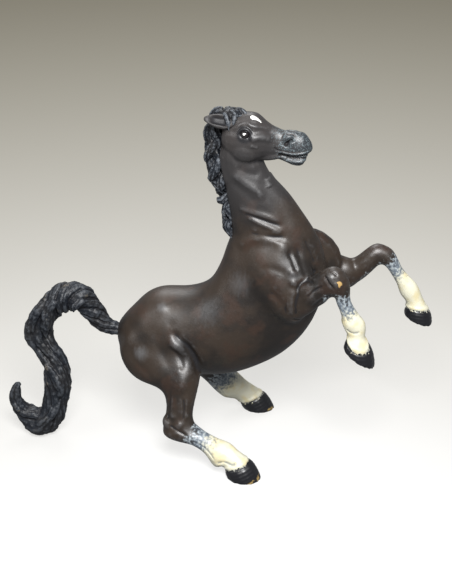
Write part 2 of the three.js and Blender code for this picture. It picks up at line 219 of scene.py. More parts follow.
def lump(x, y, z, heading, long, deep, wide):
    bpy.ops.mesh.primitive_uv_sphere_add(
        segments=32, ring_count=20, radius=MM, location=(x * MM, y * MM, z * MM),
        rotation=(0, -math.radians(heading), 0), scale=(long, wide, deep))
    return bpy.context.view_layer.objects.active


# x, y (of the right side, made negative), z, heading, half length, half depth, half width
MUSCLES_OF_BOTH_SIDES = [
    (-26.6, 9.8, 59.6, -62, 16.4, 12, 10.6), # haunch
    (-15.5, 12.6, 64, -55, 11, 6.2, 8.4),    # front of the thigh
    (-36.5, 10.6, 57, -58, 11.5, 8, 8.6),    # buttock
    (30, 7.6, 107, 62, 14.5, 8.5, 9.2),      # shoulder blade
    (14.6, 4.6, 163.6, 0, 7.4, 7, 4.9),      # cheek
    (16, 4.4, 173.4, -10, 5.6, 4.2, 3.9),    # brow
]
MUSCLES = [
    (-25.5, -8.4, 69.5, -30, 8.4, 6.4, 7.6), # right hip
    (33, -10.9, 95.5, -38, 12, 8.4, 9.5),    # triceps
    (50.5, -16.6, 96.4, 38, 9.4, 7.6, 6.7),  # forearm
    (43, -12.9, 87, 20, 5.6, 4.8, 5.6),      # elbow
    (-14.6, -21, 44, -75, 8.6, 7.4, 7.1),    # gaskin
    (-19.8, -26, 22.6, -60, 4.6, 3.6, 4.8),  # point of the hock
    (61, -20, 104.4, 0, 4.4, 4, 5.6),        # knee
    (45, 14.6, 97, -10, 11, 9, 8.6),         # left shoulder
    (61, 17, 91.5, 0, 10, 8.6, 6.9),         # left forearm
    (-15.5, 20.5, 39, -56, 8, 7.4, 6.9),     # left gaskin
]


def crease(side, width, depth, *points, bulge=0.0, reach=(-1, 99), around=False):
    """A line pressed into one side along (x, z) points, or raised where its depth is below 0. The
    bulge stands up to the left of the line. reach limits it to a range of distances from the
    median plane, and around lets it run on over faces that don't look sideways."""
    return {"side": side, "width": width, "depth": depth, "points": points, "bulge": bulge,
            "reach": reach, "around": around}


TRUNK_LINES = [
    # flank fold, from the groin up to the point of the hip
    crease(BOTH, 2.0, 1.7, (-4.6, 44), (-6, 51), (-8.4, 58), (-12, 63.6), (-16.6, 67.6),
           (-20, 71.4), bulge=0.6),
    crease(BOTH, 1.3, 0.4, (-22, 63.5), (-17.6, 60), (-14.6, 55.6), (-13.2, 50)),
    crease(BOTH, 2.0, 0.3, (-42, 62), (-38.6, 54), (-31, 47.4), (-24, 43)),
    crease(BOTH, 2.2, 0.3, (-27, 72), (-27, 64), (-23, 57), (-19, 51)),
    # shoulder blade and its muscles
    crease(BOTH, 2.4, -0.7, (11, 113), (15, 116.6), (21, 119.6), (28, 119.8), (34.5, 117.8),
           (40, 114)),
    crease(BOTH, 1.8, 0.6, (17, 122.6), (24.5, 123.2), (30, 121.8), (37, 121.6)),
    crease(BOTH, 1.8, 0.35, (23, 105.4), (28, 107.6), (33, 106.8), (38, 105)),
    crease(RIGHT, 1.0, 0.9, (51.5, 103.2), (47, 103), (43.6, 100.6), (42.2, 96)),
    crease(RIGHT, 1.1, 0.6, (42.2, 83), (42, 91), (43.6, 99), bulge=0.5),
    crease(RIGHT, 1.8, 0.5, (28, 96.4), (32, 94.4), (36.2, 89.2), (38.6, 83), bulge=0.3),
    crease(RIGHT, 0.7, 0.6, (39.5, 81.4), (44.6, 80), (49, 80.6)),
    crease(BOTH, 1.3, 0.55, (40, 119), (43.2, 111), (45.4, 106.6), (47.6, 103)),
    crease(BOTH, 1.0, 0.5, (36.6, 116), (40, 110.6), (42, 106)),
    crease(BOTH, 0.9, 0.45, (44, 121), (47.4, 113.6), (50.4, 106)),
    # folds of the neck
    crease(BOTH, 2.0, -0.8, (8.6, 153), (12, 150), (16.4, 147), (21.4, 143.8), (25, 139)),
    crease(BOTH, 2.2, 0.35, (7.6, 148.4), (12, 145), (17, 141.6), (22, 136.6)),
    crease(BOTH, 1.6, -0.6, (11, 135.6), (17, 133.6), (24.7, 131.9), (33.6, 128.6)),
    crease(BOTH, 1.3, 0.6, (14, 132.8), (21, 130.8), (27, 129.2), (35.6, 126.4)),
    crease(BOTH, 1.3, -0.6, (15.6, 131.6), (21, 129), (27, 126.6), (34.4, 123.6)),
    crease(BOTH, 1.5, -0.5, (17.6, 124.8), (23, 123.6), (29, 123.6), (35.3, 124)),
    crease(BOTH, 2.0, 0.35, (21, 150), (27, 143), (33, 134), (39, 124)),
    crease(BOTH, 1.8, 0.5, (11, 156.6), (14.4, 154), (18.6, 152.4), (23.4, 152)),
    crease(BOTH, 1.2, -0.5, (25.6, 150), (26.6, 147.4), (27.4, 145)),
    crease(BOTH, 1.2, -0.5, (2.4, 164), (3, 157), (4.4, 150), (6, 144)),
]
LEG_LINES = [
    crease(BOTH, 0.8, 0.45, (-19.4, 41), (-19.8, 35), (-20.4, 29), (-21, 25), reach=(12, 99)),
    crease(RIGHT, 0.7, 0.4, (-12.6, 39), (-12, 32), (-12.6, 26)),
    crease(RIGHT, 0.8, 0.4, (-20, 24), (-15, 21.6), (-10, 19.4)),
    crease(RIGHT, 0.6, 0.45, (-8, 16.6), (-3, 15), (2, 11.8), (5, 9)),
    crease(RIGHT, 0.7, 0.5, (4.8, 7.6), (9, 9.4), (13.6, 9), (16, 10.4)),
    crease(LEFT, 0.6, 0.4, (-8, 25), (-3, 20.4), (1.6, 15.6)),
    # forelegs: knee, tendons and fetlock
    crease(RIGHT, 0.7, 0.6, (55.8, 108.4), (57.4, 106.6), (59, 104.6), (61.8, 102.4),
           bulge=0.4, reach=(10, 99)),
    crease(RIGHT, 0.5, 0.4, (57.4, 110), (60, 110.2), (62.4, 108.6), reach=(10, 99)),
    crease(RIGHT, 0.7, 0.5, (46.6, 95), (51, 99.6), (55.6, 103.4), reach=(10, 99)),
    crease(RIGHT, 0.7, 0.45, (50, 90), (55, 95), (60, 99), reach=(10, 99)),
    crease(RIGHT, 0.6, 0.5, (63.6, 97), (64.8, 92), (66.6, 87.6), (68.6, 84), reach=(10, 99)),
    crease(RIGHT, 0.6, 0.4, (66.6, 80.6), (70, 79), (74.6, 79.6), reach=(10, 99)),
    crease(LEFT, 0.7, 0.5, (58, 96), (64, 94), (70, 96.6), (75, 99.6), reach=(10, 99)),
    crease(LEFT, 0.6, 0.5, (88, 95), (90.4, 90.6), (93, 86), reach=(10, 99)),
]


def spot(x, y, z, radius, height):
    """A round rise, or a dent where its height is below 0."""
    return (x, y, z, radius, height)


SPOTS = [
    spot(-20.6, -19, 75, 2.4, -0.6),
    spot(-25.4, -11.5, 80, 3.0, 0.6),
    spot(-17, -20.5, 64, 4.6, 1.0),
    spot(-34, -19, 57, 4.6, 0.9),
    spot(-15.3, -24, 51.4, 2.1, 0.6),
    spot(-13.2, -26, 44.7, 2, 0.5),
    spot(-14.2, -30.6, 24.2, 1.8, 0.6),
    spot(-17.6, -29.4, 28.3, 1.6, 0.45),
    spot(-11.2, -28.6, 29, 1.5, 0.45),
    spot(40, -17.6, 106, 1.7, 0.7),
    spot(40.6, -19.2, 101.6, 1.9, 0.7),
    spot(59.4, -23, 108, 2.2, 0.5),
    spot(62.6, -24.6, 104.6, 2, 0.5),
    spot(70, -24.4, 82.8, 2.2, 0.4),
    spot(4.6, -36.6, 10.4, 2.3, 0.5),
    spot(3.2, -31, 6.4, 1.9, 0.9),           # ergot behind the right hind fetlock
    spot(0.8, 29, 11.4, 1.9, 0.7),
    spot(66, -20, 83.4, 1.7, 0.6),
    spot(92.6, 20, 83, 1.5, 0.5),
]


CREASE_END = 0.22       # share of a crease's length over which each end fades out


def share_in(points, normals, line):
    """How far each vertex takes part in a crease, from 0 to 1, by its side and where it looks."""
    inner, outer = line["reach"]
    share = np.zeros(len(points))
    for side in (RIGHT, LEFT) if line["side"] == BOTH else (line["side"],):
        sideways = 1 if line["around"] else smoothstep(0.05, 0.45, normals[:, 1] * side)
        out = points[:, 1] * side
        share = np.maximum(share, sideways * ((out > inner) & (out < outer)))
    return share


def measure_from(route, places):
    """How far each (x, z) place is from a route, the same with its sign, which is above 0 on the
    left, and how much of the route lies behind it, from 0 to 1."""
    nearest = np.full(len(places), np.inf)
    signed = np.zeros(len(places))
    along = np.zeros(len(places))
    spans = len(route) - 1
    for index in range(spans):
        start = route[index]
        step = route[index + 1] - start
        length = max(np.hypot(*step), 1e-6)
        way = step / length
        relative = places - start
        t = np.clip(relative @ way, 0, length)
        gap = relative - t[:, None] * way
        distance = np.hypot(gap[:, 0], gap[:, 1])
        closer = distance < nearest
        side_of = np.sign(way[0] * relative[:, 1] - way[1] * relative[:, 0])
        nearest = np.where(closer, distance, nearest)
        signed = np.where(closer, distance * side_of, signed)
        along = np.where(closer, (index + t / length) / spans, along)
    return nearest, signed, along


def line_height(points, normals, line):
    """How far each vertex moves along its normal for one crease."""
    route = smooth_line(line["points"])
    width = line["width"]
    flat = points[:, [0, 2]]
    margin = 4 * width
    inside = ((flat > route.min(0) - margin) & (flat < route.max(0) + margin)).all(1)
    share = share_in(points, normals, line)
    height = np.zeros(len(points))
    chosen = np.flatnonzero(inside & (share > 0))
    if not len(chosen):
        return height
    nearest, signed, along = measure_from(route, flat[chosen])
    fade = smoothstep(0, CREASE_END, along) * smoothstep(0, CREASE_END, 1 - along)
    shape = -line["depth"] * np.exp(-(nearest / width) ** 2)
    shape += line["bulge"] * np.exp(-((signed - 2.3 * width) / (1.9 * width)) ** 2)
    height[chosen] = shape * fade * share[chosen]
    return height


def spot_height(points, x, y, z, radius, height):
    distance = np.linalg.norm(points - np.array([x, y, z]), axis=1)
    return height * np.exp(-(distance / radius) ** 2)


def sculpt(piece, lines, spots):
    """Presses creases and spots into a mesh along its normals."""
    points = points_of(piece)
    normals = normals_of(piece)
    height = np.zeros(len(points))
    for line in lines:
        height += line_height(points, normals, line)
    for place in spots:
        height += spot_height(points, *place)
    set_points(piece, points + normals * height[:, None])


def keep_outside(piece):
    """Keeps the largest of the separate shells of a mesh."""
    activate(piece)
    bpy.ops.object.mode_set(mode="EDIT")
    bpy.ops.mesh.select_all(action="SELECT")
    bpy.ops.mesh.separate(type="LOOSE")
    bpy.ops.object.mode_set(mode="OBJECT")
    shells = list(bpy.context.selected_objects)
    shells.sort(key=lambda shell: Vector(shell.dimensions).length, reverse=True)
    for shell in shells[1:]:
        bpy.data.objects.remove(shell)
    return shells[0]


# Where the rounding of the trunk sets in over the hind legs, and where it ends up the neck and
# before the forelegs
OVER_HIND_LEGS = (34, 50)
UP_THE_NECK = (136, 150)
BEFORE_FORELEGS = (43, 51)


def soften_trunk(piece, reach, spacing):
    """Rounds off the trunk and the lower neck over that reach, and leaves legs and head alone."""
    points = points_of(piece)
    edges = edges_of(piece)
    x, z = points[:, 0], points[:, 2]
    share = smoothstep(*OVER_HIND_LEGS, z)
    share *= 1 - smoothstep(*UP_THE_NECK, z)
    share *= 1 - smoothstep(*BEFORE_FORELEGS, x)
    share = share[:, None] * RELAX_IN
    for _ in range(int(4 * (reach / spacing) ** 2)):
        points += share * (neighbour_means(points, edges) - points)
    set_points(piece, points)


def skin_of(name, nodes, muscles, voxel, rounds):
    """One closed skin round CAD nodes and muscles."""
    body = copy_of_nodes(name, nodes)
    finish_with(body, "DISPLACE", strength=SKIN_GROWTH * MM, mid_level=0)
    deselect()
    lumps = [lump(*muscle) for muscle in muscles]
    whole = join(name, [body] + lumps)
    finish_with(whole, "REMESH", mode="VOXEL", voxel_size=voxel * MM)
    whole = keep_outside(whole)
    whole.name = name
    relax(whole, rounds, SKIN_RELAX_OUT)
    soften_trunk(whole, TRUNK_SOFTNESS, voxel)
    finish_with(whole, "SUBSURF", levels=1, render_levels=1)
    return whole


def on_both_sides(muscles):
    """Muscles given for one side, each with its mirror image."""
    return [(x, side * y, z, *rest) for x, y, z, *rest in muscles for side in (RIGHT, LEFT)]


# Cutting the skin into its castings

def seam_box(x, z, heading, reach, low, high, right, left):
    """A block with one face on a seam: it reaches that far along the heading, from low to high
    across it, and from right to left."""
    angle = math.radians(heading)
    ahead = Vector((math.cos(angle), 0, math.sin(angle)))
    across = Vector((-math.sin(angle), 0, math.cos(angle)))
    centre = Vector((x, (right + left) / 2, z)) + ahead * reach / 2 + across * (low + high) / 2
    deselect()
    bpy.ops.mesh.primitive_cube_add(
        size=MM, location=centre * MM, rotation=(0, -angle, 0),
        scale=(reach, left - right, high - low))
    box = bpy.context.view_layer.objects.active
    bpy.ops.object.transform_apply(location=True, rotation=True, scale=True)
    return box


def cut_off(whole, name, box):
    """Takes the part of a skin that lies in a box off it, as a new piece."""
    part = duplicate(whole, name)
    for piece, operation in ((part, "INTERSECT"), (whole, "DIFFERENCE")):
        finish_with(piece, "BOOLEAN", operation=operation, object=box, solver="MANIFOLD")
    bpy.data.objects.remove(box)
    return part


HEAD_MUSCLES_OF_BOTH_SIDES = [
    (36.4, 2.9, 168.6, -20, 3.6, 3, 2.4),     # nostril
    (26, 2.4, 160.4, 8, 9, 2.4, 2.6),         # jaw bar
    (18.4, 4.4, 175.6, -20, 4.4, 2.4, 2.8),   # bone over the eye
]
HEAD_MUSCLES = [
    (43, 0, 166, -58, 4.8, 3.2, 4.1),         # upper lip
    (38.8, 0, 157.8, 4, 4.6, 2.1, 3.8),       # lower lip
]
EYE = (15.1, 7.0, 172.3)      # middle of the left eyeball, and of the right one at -Y
EYE_RADIUS = 2.35
CORNEA = 0.05                 # how far it stands out, as a share of the radius
HEAD_LINES = [
    crease(BOTH, 1.6, -0.9, (17.2, 169.8), (20.4, 171), (24, 170.9), (28.6, 168.6)),
    crease(BOTH, 1.2, 0.25, (18.6, 173.9), (22.8, 174), (28, 172)),
    crease(BOTH, 0.8, -0.4, (17, 177), (22, 175.7), (27, 173.9), (33, 172.2)),
    crease(BOTH, 0.8, -0.35, (17.6, 167.4), (21.8, 166.1)),
    crease(BOTH, 1.6, 0.25, (8.6, 168), (8.6, 162.4), (11.4, 158.2), (16, 156.8), (21, 158),
           (23.8, 161.4), (23.6, 165)),
    # mouth, lips and chin
    crease(BOTH, 0.8, 2.1, (30.2, 162.3), (33, 161.2), (37, 160.7), (41, 160.9), (47.5, 161.8),
           around=True),
    crease(BOTH, 0.7, 1.4, (34, 160.2), (37, 159.6), (41, 159.5), (47.5, 160), around=True),
    crease(BOTH, 0.5, -0.45, (31, 163.9), (34, 162.9), (38, 162.6), (43, 163.2), (48, 164.6),
           around=True),
    crease(BOTH, 0.5, -0.35, (32, 159.4), (36, 158.3), (41, 158.2), (46, 158.8), around=True),
    crease(BOTH, 0.7, 0.45, (29.6, 158.6), (33.4, 157.2), (37, 156.8)),
    crease(BOTH, 0.5, 0.35, (28.6, 166), (30.4, 164.2), (33, 164)),
    # nostril
    crease(BOTH, 1.1, 2.3, (33.8, 165.8), (34.9, 168), (36.4, 169.4), (39.4, 169.8)),
    crease(BOTH, 0.7, -0.5, (32.4, 168.4), (34, 171.2), (37, 172.2), (40.6, 171)),
    # eye: socket, lids and the fold over them
    crease(BOTH, 1.2, 0.8, (12.2, 172.2), (15, 172.5), (18, 171.6)),
    crease(BOTH, 0.55, -0.5, (11.4, 171.9), (12.8, 174.2), (15.1, 175.2), (17.4, 174), (18.8, 171.2)),
    crease(BOTH, 0.45, 0.35, (11, 173.6), (12.8, 175.6), (15.4, 176.3), (17.8, 175.2), (19.2, 173)),
    crease(BOTH, 0.6, -0.4, (10.8, 175), (13, 177), (16, 177.6), (18.8, 176.2)),
]
HEAD_SPOTS = [
    spot(45.5, 0, 157.6, 2.6, -1.1),
    spot(9.6, -7.6, 173.6, 2, -0.5),
    spot(9.6, 7.6, 173.6, 2, -0.5),
    spot(30, -4.6, 167.6, 3.4, -0.35),
    spot(30, 4.6, 167.6, 3.4, -0.35),
]
# x, z and heading of the seam under the head and of the one under the neck, and how far the block
# beyond it reaches
HEAD_SEAM = (13.4, 154.6, 84)
NECK_SEAM = (28.8, 120.5, 79)
HEAD_REACH = 60
NECK_WIDTH = 80
FAR = 300               # past every part of the statuette


# The castings

# x and z of each leg's seam and its heading, how far the block beyond it reaches, its lowest and
# highest edge across the heading, and its right and left face.
LEG_SEAMS = {
    "hindleg_right": (-14.5, 38, -85, 60, -15, 50, -60, -2),
    "hindleg_left": (-17.5, 38, -85, 60, -15, 50, 2, 60),
    "foreleg_right": (54.5, 99.5, 10, 80, -60, 40, -60, -11.5),
    "foreleg_left": (63.5, 90.6, 4, 80, -60, 40, 8, 60),
}
# The plane of each coronet, as (x, y, z) weights and their sum on it: the hoof is where the sum is
# greater. Then x and z of where each white sock starts, and the heading down it.
HOOVES = {
    "hindleg_right": ((0.40, 0.0, -0.91), -0.2),
    "hindleg_left": ((0.42, 0.0, -0.91), 0.3),
    "foreleg_right": ((-0.22, 0.45, -0.86), -87.9),
    "foreleg_left": ((-0.10, -0.15, -0.98), -83.9),
}
SOCKS = {
    "hindleg_right": (-7.5, 22, -38),
    "hindleg_left": (-5, 24.5, -48),
    "foreleg_right": (63.7, 97.5, -76),
    "foreleg_left": (84.5, 100, -50),
}
CORONET_WIDTH = 0.55
CORONET_DEPTH = 0.35
CORONET_LIP = 0.22
RING_DEPTH = 0.05
HOOF_LENGTH = 12


def ahead_of(points, x, z, heading):
    """How far each point lies along a heading from (x, z)."""
    angle = math.radians(heading)
    return (points[:, 0] - x) * math.cos(angle) + (points[:, 2] - z) * math.sin(angle)


def beyond_coronet(points, name):
    """How far each point lies past the coronet, into the hoof."""
    weights, level = HOOVES[name]
    weights = np.array(weights)
    return (points @ weights - level) / np.linalg.norm(weights)


def near_leg(points, name):
    """True where a point of the whole skin belongs to that lower leg."""
    x, z, heading, *_, right, left = LEG_SEAMS[name]
    y = points[:, 1]
    before_tail = points[:, 0] > -30
    return (ahead_of(points, x, z, heading) > 0) & (y > right) & (y < left) & before_tail


def shape_hooves(piece):
    """Presses a step into the skin at each coronet and fine growth rings into each hoof."""
    points = points_of(piece)
    normals = normals_of(piece)
    height = np.zeros(len(points))
    for name in HOOVES:
        past = beyond_coronet(points, name)
        near = near_leg(points, name) & (np.abs(past) < HOOF_LENGTH)
        step = -CORONET_DEPTH * np.exp(-(past / CORONET_WIDTH) ** 2)
        step += CORONET_LIP * np.exp(-((past + 1.2) / 0.8) ** 2)
        rings = RING_DEPTH * np.sin(past * 3.4) * (past > 0.8)
        height += np.where(near, step + rings, 0)
    set_points(piece, points + normals * height[:, None])


def mark_ridges(piece, rounds, scale):
    """Stores how far each vertex stands out from the surface round it, from -1 to 1."""
    points = points_of(piece)
    edges = edges_of(piece)
    blurred = points.copy()
    for _ in range(rounds):
        blurred = neighbour_means(blurred, edges)
    rise = ((points - blurred) * normals_of(piece)).sum(1)
    set_attribute(piece, "ridge", np.clip(rise / scale, -1, 1))


def body_skin():
    """Trunk, neck and legs in one skin, sculpted."""
    skin = skin_of("skin", CASTINGS + DOWELS, on_both_sides(MUSCLES_OF_BOTH_SIDES) + MUSCLES,
                   SKIN_VOXEL, 28)
    sculpt(skin, TRUNK_LINES + LEG_LINES, SPOTS)
    relax(skin, 3)
    shape_hooves(skin)
    points = points_of(skin)
    points[:, 2] = np.maximum(points[:, 2], 0)
    set_points(skin, points)
    mark_ridges(skin, 10, 0.12)
    return skin


def head_skin():
    """The head in a finer skin that runs on into the neck, sculpted."""
    muscles = on_both_sides(MUSCLES_OF_BOTH_SIDES[-2:] + HEAD_MUSCLES_OF_BOTH_SIDES) + HEAD_MUSCLES
    skin = skin_of("head_skin", ["head", "neck", "head_dowel"], muscles, HEAD_VOXEL, 32)
    sculpt(skin, TRUNK_LINES, [])
    sculpt(skin, HEAD_LINES, HEAD_SPOTS)
    relax(skin, 1)
    mark_ridges(skin, 14, 0.1)
    return skin


def seam_block(x, z, heading):
    """The block beyond a seam across the neck."""
    return seam_box(x, z, heading, HEAD_REACH, -HEAD_REACH, HEAD_REACH,
                    -NECK_WIDTH / 2, NECK_WIDTH / 2)


def make_castings():
    """Cuts the skins along the seams: the head comes from the fine one, the rest from the other."""
    skin = body_skin()
    castings = {}
    for name, seam in LEG_SEAMS.items():
        castings[name] = cut_off(skin, name + "_casting", seam_box(*seam))
    rough_head = cut_off(skin, "rough_head", seam_block(*HEAD_SEAM))
    bpy.data.objects.remove(rough_head)
    castings["neck"] = cut_off(skin, "neck_casting", seam_block(*NECK_SEAM))
    castings["trunk_right"] = cut_off(
        skin, "trunk_right_casting", seam_box(-FAR / 2, 0, 0, FAR, -FAR, FAR, -FAR, 0))
    skin.name = "trunk_left_casting"
    castings["trunk_left"] = skin
    for name in ("trunk_right", "trunk_left"):
        finish_with(castings[name], "DECIMATE", ratio=TRUNK_KEPT)
    fine = head_skin()
    castings["head"] = cut_off(fine, "head_casting", seam_block(*HEAD_SEAM))
    bpy.data.objects.remove(fine)
    return castings


# Hair: each group is a bundle of carved locks that wind round a core.

WISP_TURN = 160
MANE_ROUGHNESS = ((3, 0.8), (1.2, 0.25))
TAIL_ROUGHNESS = ((6, 1.8), (2.2, 0.45))


def core_frame(rows):
    """The two directions across a core at each of its rows: in the side view, and sideways."""
    centres = rows[:, :3]
    ahead = np.gradient(centres, axis=0)
    ahead /= np.linalg.norm(ahead, axis=1)[:, None]
    side = np.array([0.0, 1.0, 0.0])
    sides = []
    for way in ahead:
        side = side - way * (side @ way)
        side = side / np.linalg.norm(side)
        sides.append(side)
    sides = np.array(sides)
    return np.cross(sides, ahead), sides


def groove(angle, width=0.42):
    """1 in the middle of a groove, once a turn, and 0 beside it."""
    return np.exp(-(np.sin(angle / 2) / width) ** 2)


def carved(angle, length, turn, lobes, depth):
    """How far locks and strands that wander round a tube stand out from it."""
    wander = 0.9 * np.sin(0.21 * length + 2 * angle) + 0.7 * np.sin(0.11 * length + angle + 1.3)
    coarse = groove(lobes * (angle + turn) + 1.3 * wander)
    fine = groove((4 * lobes + 1) * (angle + 0.92 * turn) + 3.4 * wander, 0.5)
    swell = np.sin(0.33 * length + 3 * angle + turn)
    return 1 + 0.35 * depth - depth * coarse - 0.34 * depth * fine + 0.22 * depth * swell


def sweep(name, rows, facets, lobes, depth):
    """A closed tube through rows of (x, y, z, depth, width, turn), carved into locks."""
    across, sides = core_frame(rows)
    length = np.concatenate([[0], np.cumsum(np.linalg.norm(np.diff(rows[:, :3], axis=0), axis=1))])
    angles = np.arange(facets) * 2 * math.pi / facets
    turn = np.radians(rows[:, 5])[:, None]
    profile = carved(angles[None, :], length[:, None], turn, lobes, depth)
    out_across = (rows[:, 3, None] * profile * np.cos(angles))[..., None] * across[:, None]
    out_side = (rows[:, 4, None] * profile * np.sin(angles))[..., None] * sides[:, None]
    rings = rows[:, None, :3] + out_across + out_side
    vertices = np.vstack([rings.reshape(-1, 3), rows[:1, :3], rows[-1:, :3]]) * MM
    first_pole = len(rows) * facets
    last = first_pole - facets
    faces = []
    for here in range(0, last, facets):
        after = here + facets
        for facet in range(facets):
            beside = (facet + 1) % facets
            faces.append((here + facet, here + beside, after + beside, after + facet))
    for facet in range(facets):
        beside = (facet + 1) % facets
        faces.append((first_pole, beside, facet))
        faces.append((first_pole + 1, last + facet, last + beside))
    mesh = bpy.data.meshes.new(name)
    mesh.from_pydata(vertices.tolist(), [], faces)
    tube = bpy.data.objects.new(name, mesh)
    bpy.context.scene.collection.objects.link(tube)
    edit(tube, (bpy.ops.mesh.normals_make_consistent, {"inside": False}))
    return tube


def wisp_tube(name, wisp):
    """One thin lock along (x, y, z, radius) rows, thin at its start and thinner at its end."""
    line = smooth_line(wisp, 10)
    t = np.linspace(0, 1, len(line))
    start = np.maximum(smoothstep(0, 0.1, t), 0.15)
    end = np.maximum(smoothstep(0, 0.45, 1 - t), 0.1)
    radius = line[:, 3] * (start * end)
    rows = np.column_stack([line[:, :3], radius, radius, WISP_TURN * t])
    return sweep(name, rows, 32, 3, 0.26)


def hair(name, core, voxel, wisps, lobes, depth, roughness=MANE_ROUGHNESS):
    """Hair carved on a core of (x, y, z, depth, width, turn) rows, with wisps that stand off it.
    Its roughness is pairs of grain and height."""
    parts = [sweep(name, smooth_line(core, 16), 108, lobes, depth)]
    parts += [wisp_tube(name, wisp) for wisp in wisps]
    whole = join(name, parts)
    finish_with(whole, "REMESH", mode="VOXEL", voxel_size=voxel * MM)
    whole = keep_outside(whole)
    whole.name = name
    for grain, height in roughness:
        clouds = bpy.data.textures.new("hair_clouds", "CLOUDS")
        clouds.noise_scale = grain * MM
        clouds.noise_depth = 2
        finish_with(whole, "DISPLACE", texture=clouds, texture_coords="LOCAL",
                    strength=height * MM, mid_level=0.5)
    relax(whole, 1)
    points = points_of(whole)
    points[:, 2] = np.maximum(points[:, 2], 0)
    set_points(whole, points)
    mark_ridges(whole, 12, 0.2)
    return whole


TAIL_CORE = [
    (-101.4, -8.5, 29.6, 1.2, 1.2, 0),
    (-103.2, -8.5, 26.8, 2.3, 2.3, 10),
    (-104, -8.5, 20.6, 3.0, 3.0, 25),
    (-100.6, -8.3, 13.2, 4.4, 4.2, 50),
    (-96, -8.1, 10, 6.1, 5.4, 80),
    (-91, -8, 7.2, 7.4, 6.8, 120),
    (-85.4, -7.2, 12, 6.4, 6.1, 170),
    (-83, -6.2, 20.8, 6.1, 5.9, 210),
    (-81.8, -5.2, 30.6, 6.7, 6.2, 235),
    (-82.9, -4.4, 40.4, 6.2, 5.8, 250),
    (-87.2, -3.7, 48.3, 5.9, 5.6, 262),
    (-90.5, -3, 56.5, 6.2, 5.8, 276),
    (-88.9, -2.5, 64.5, 6, 5.7, 300),
    (-83.6, -2, 72.5, 6.7, 6.2, 360),
    (-77, -1.5, 77.3, 7.6, 7, 470),
    (-70.2, -1, 77.8, 6.9, 6.5, 590),
    (-65.4, -0.5, 73.4, 5.8, 5.6, 680),
    (-61.8, 0, 67.8, 5.2, 5, 740),
    (-57.6, 0, 62.8, 4.2, 4.1, 780),
    (-52.8, 0, 60.8, 3.2, 3.2, 800),
    (-49, 0, 60.4, 2.9, 2.9, 810),
]
TAIL_WISPS = [
    [(-84, -6, 77, 2.2), (-91, -7, 69.6, 2.8), (-94.6, -7.2, 60, 3), (-93.4, -7.6, 51.6, 2.8),
     (-91, -8, 46.4, 2.4)],
    [(-80, -6, 79, 2.4), (-84.6, -8, 72, 2.8), (-86.4, -8.6, 62, 2.4), (-85.6, -9, 53, 1.4)],
    [(-88, -8.4, 44, 1.8), (-82.4, -10, 36, 2.4), (-80, -10.6, 27, 2.4), (-84, -11.4, 19, 1.6)],
    [(-79, -9.4, 24, 1.6), (-84.6, -12.4, 14, 2.4), (-92, -13, 8.6, 2.4), (-98, -11.6, 11, 1.4)],
    [(-66, -5.4, 78.6, 1.8), (-70.4, -7.6, 76, 2.2), (-72, -7.6, 71.4, 1.6)],
    [(-74, -3, 84, 1.8), (-76.6, -7.4, 79.6, 2.2), (-78, -7.6, 73, 1.6)],
]
MANE_UPPER_CORE = [
    (5, 2.6, 176.4, 2.8, 3.2, 0),
    (1.2, 3, 173, 4.2, 4.2, 40),
    (-0.6, 3.8, 165.5, 4.7, 4.8, 90),
    (-0.8, 4.2, 156.5, 4.6, 5, 150),
    (0.4, 4.6, 148, 4.8, 4.8, 210),
    (3.2, 4.4, 141.5, 4.2, 4.2, 260),
    (6, 4, 137.4, 2, 2.4, 290),
]
MANE_UPPER_WISPS = [
    [(1, 0.6, 176, 1.5), (-3.6, 1, 171.4, 1.9), (-4.6, 2, 165, 1.8), (-3.6, 3, 160.4, 1)],
    [(2, 0, 168, 1.5), (-2, -0.6, 162, 2), (-4.6, 0.6, 156, 1.9), (-3.6, 2, 151, 1)],
    [(2.6, 0, 158, 1.5), (0.4, -1, 152, 2), (-2.6, -0.4, 146.4, 2), (-2.8, 1, 142.8, 1)],
    [(4.4, 0, 150, 1.5), (3, -0.8, 145, 1.9), (2.4, -0.4, 140.6, 1.7), (4, 0.4, 136.6, 0.9)],
    [(-1.6, -0.6, 175.6, 1.3), (-1, -1, 170, 1.5), (1.2, -0.8, 164, 1.4), (0, -0.6, 158, 0.8)],
]
MANE_FLYING_CORE = [
    (10.4, 2.6, 138, 2.2, 3, 0),
    (6.2, 1.8, 135.8, 2.9, 3.2, 40),
    (3, 0.8, 134.6, 2.2, 2.4, 90),
    (0.4, 0.2, 134.6, 1.2, 1.2, 130),
]
MANE_LOWER_CORE = [
    (8.4, 3.6, 133.6, 3, 3.4, 0),
    (7, 4, 128, 4.4, 4.2, 60),
    (7.4, 3.6, 121.5, 4.4, 4.1, 130),
    (8.8, 3, 116, 3.5, 3.4, 190),
    (10.4, 2.4, 111.3, 1.5, 1.8, 230),
]
MANE_LOWER_WISPS = [
    [(8.4, -0.6, 135.4, 1.6), (6, -1.4, 131.4, 1.9), (8, -2.2, 126.6, 1.5), (7, -2.4, 122.4, 0.8)],
    [(9.6, -1.8, 128, 1.3), (6.4, -1.6, 122, 1.7), (8.8, -2.4, 116, 1.3), (10.4, -2.4, 112, 0.7)],
]
FORELOCK_CORE = [
    (1.6, 0, 177.4, 2.2, 2.8, 0),
    (6.4, 0, 179, 3.6, 4.6, 40),
    (11, 0.3, 179, 3.1, 4.2, 90),
    (16, 0.6, 178, 1.2, 2, 130),
]
